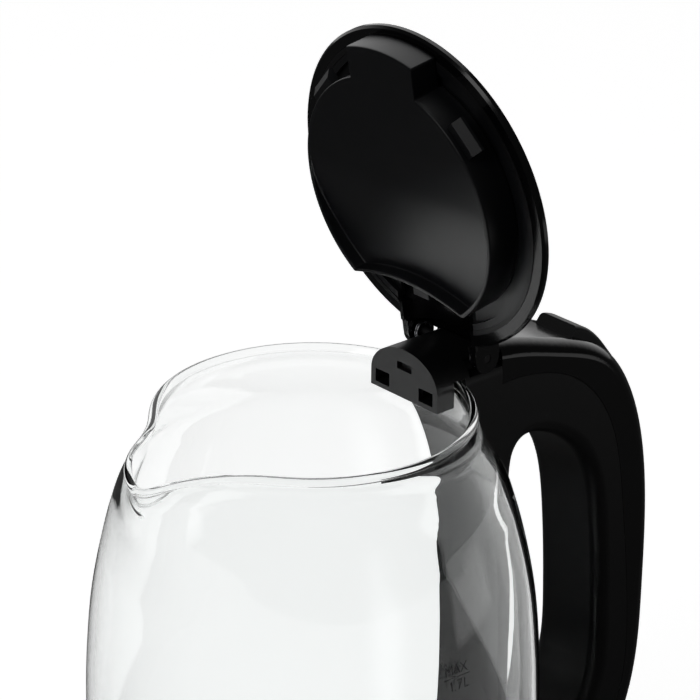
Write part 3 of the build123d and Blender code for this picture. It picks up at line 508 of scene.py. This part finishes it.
def makePlug():
    angle = plugAngles()[:, None]
    reach = plugReach(angle)
    rnd, lip, faceZ = plug["round"], plug["lip"], plug["faceZ"]
    bend = np.linspace(0, math.pi / 2, plug["bendRows"])[None, :]
    wall = np.linspace(0, 1, plug["wallRows"])[None, 1:] * np.ones_like(reach)
    wallTop = np.where(reach > plug["r"] + 0.5, plug["lobeTopZ"], plug["floorZ"])

    def sinkAt(radius):
        # the face lies deeper towards the hinge
        return plug["sink"] * smoothStep(plug["sinkFrom"], plug["sinkTo"], -radius * np.cos(angle))

    face = np.linspace(0.0, 1.0, plug["faceRows"])[None, :] * (reach - lip - rnd)
    fillIn = reach - lip - rnd + rnd * np.sin(bend)
    lipIn = reach - lip + plug["lipRound"] * (1 - np.cos(bend))
    lipOut = reach - rnd + rnd * np.sin(bend)
    rise = np.minimum(rnd, sinkAt(fillIn) + 0.02)
    bands = [
        (face, faceZ + sinkAt(face)),
        (fillIn, faceZ + sinkAt(fillIn) - rise * (1 - np.cos(bend))),
        (lipIn, faceZ + np.minimum(plug["lipRound"], sinkAt(lipIn)) * (1 - np.sin(bend))),
        (lipOut, faceZ + rnd * (1 - np.cos(bend)) * np.ones_like(reach)),
        (reach * np.ones_like(wall), faceZ + rnd + wall * (wallTop - faceZ - rnd)),
        (reach - plug["wallT"], wallTop),
        (0.0 * reach, plug["floorZ"] * np.ones_like(reach)),
    ]
    radius, z = (np.concatenate(column, axis=1) for column in zip(*bands))
    points = carryOpen(-radius * np.cos(angle), radius * np.sin(angle), z)
    obj = gridMesh("lidPlug", points, wrapU=True, flip=True)
    closePoles(obj)
    return obj


plugObj = makePlug()
plugObj.data.materials.append(mats["panelBlack"])
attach(plugObj, "lid")
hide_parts("lid_panel")
print("lid plug made")


# floor, lights and camera

stageLook = {
    "floorSize": 12.0, "floorTone": 0.8, "floorShade": 0.12, "floorSeen": 0.75, "floorGlow": 0.0,
    "worldBack": 1.0, "worldFront": 0.04, "worldTurnFrom": 0.25, "worldTurnTo": 0.75,
}
lights = {
    "keyLight": {"place": (-1.5, -0.2, 1.2), "target": (0, 0, 0.2), "size": (0.5, 1.4), "power": 4.0},
    "sideStrip": {"place": (0.46, -0.46, 0.09), "target": (0.06, 0, 0.3), "size": (0.3, 0.12), "power": 0.06},
    "topLight": {"place": (0.4, 0.5, 2.0), "target": (0.0, 0, 0.2), "size": (1.4, 1.4), "power": 3.0},
}
view = {
    "lens": 148.1, "sensor": 36.0, "clipStart": 0.01, "clipEnd": 50.0,
    "place": (-0.53127, -0.61851, 0.59970),
}


def rayPick(tree, seen, other):
    # one value for what the camera sees straight or through glass, another for every other ray
    path = addNode(tree, "ShaderNodeLightPath")
    either = addNode(tree, "ShaderNodeMath", {"operation": "MAXIMUM"})
    tree.links.new(path.outputs["Is Camera Ray"], either.inputs[0])
    tree.links.new(path.outputs["Is Transmission Ray"], either.inputs[1])
    pick = addNode(tree, "ShaderNodeMapRange", values={"To Min": other, "To Max": seen})
    tree.links.new(either.outputs["Value"], pick.inputs["Value"])
    return pick.outputs["Result"]


bpy.ops.mesh.primitive_plane_add(size=stageLook["floorSize"], location=(0, 0, 0))
floor = bpy.context.object
floor.name = "floor"
floorMat, floorTree, floorShader = newMaterial("floorWhite", (stageLook["floorTone"],) * 3, 0.8)
floorShader.inputs["Emission Color"].default_value = (1, 1, 1, 1)
glow = rayPick(floorTree, stageLook["floorSeen"], stageLook["floorGlow"])
floorTree.links.new(glow, floorShader.inputs["Emission Strength"])
tone = rayPick(floorTree, stageLook["floorTone"], stageLook["floorShade"])
floorTree.links.new(tone, floorShader.inputs["Base Color"])
floor.data.materials.append(floorMat)

right = Vector((0.75233, -0.65872, 0.00894))
up = Vector((0.26033, 0.30973, 0.91450))
back = Vector((-0.60517, -0.68568, 0.40451))

# the world is white behind the kettle and dark in front of it, so the glass keeps dark edges
world = bpy.data.worlds.new("studio")
scene.world = world
world.use_nodes = True
worldTree = world.node_tree
background = worldTree.nodes["Background"]
background.inputs["Color"].default_value = (1, 1, 1, 1)
direction = addNode(worldTree, "ShaderNodeTexCoord")
facing = addNode(worldTree, "ShaderNodeVectorMath", {"operation": "DOT_PRODUCT"})
facing.inputs[1].default_value = (-back.x, -back.y, 0.0)
field = addNode(worldTree, "ShaderNodeMapRange", {"interpolation_type": "SMOOTHSTEP"}, {
    "From Min": stageLook["worldTurnFrom"], "From Max": stageLook["worldTurnTo"],
    "To Min": stageLook["worldFront"], "To Max": stageLook["worldBack"],
})
worldTree.links.new(direction.outputs["Generated"], facing.inputs[0])
worldTree.links.new(facing.outputs["Value"], field.inputs["Value"])
worldPath = addNode(worldTree, "ShaderNodeLightPath")
worldMix = addNode(worldTree, "ShaderNodeMix", {"data_type": "FLOAT"})
worldTree.links.new(worldPath.outputs["Is Camera Ray"], worldMix.inputs["Factor"])
worldTree.links.new(field.outputs["Result"], worldMix.inputs["A"])
worldMix.inputs["B"].default_value = 1.0
worldTree.links.new(worldMix.outputs["Result"], background.inputs["Strength"])


def areaLight(name, look):
    light = bpy.data.lights.new(name, "AREA")
    light.shape = "RECTANGLE"
    light.size, light.size_y = look["size"]
    light.energy = look["power"]
    obj = bpy.data.objects.new(name, light)
    scene.collection.objects.link(obj)
    obj.location = look["place"]
    obj.rotation_mode = "QUATERNION"
    obj.rotation_quaternion = (Vector(look["target"]) - Vector(look["place"])).to_track_quat("-Z", "Y")


for name, look in lights.items():
    areaLight(name, look)

camData = bpy.data.cameras.new("photoCamera")
camData.lens = view["lens"]
camData.sensor_width = view["sensor"]
camData.clip_start = view["clipStart"]
camData.clip_end = view["clipEnd"]
cam = bpy.data.objects.new("photoCamera", camData)
scene.collection.objects.link(cam)
cam.matrix_world = Matrix((
    (right.x, up.x, back.x, view["place"][0]),
    (right.y, up.y, back.y, view["place"][1]),
    (right.z, up.z, back.z, view["place"][2]),
    (0, 0, 0, 1),
))
scene.camera = cam
scene.view_settings.view_transform = "Standard"
print("camera and lights made")
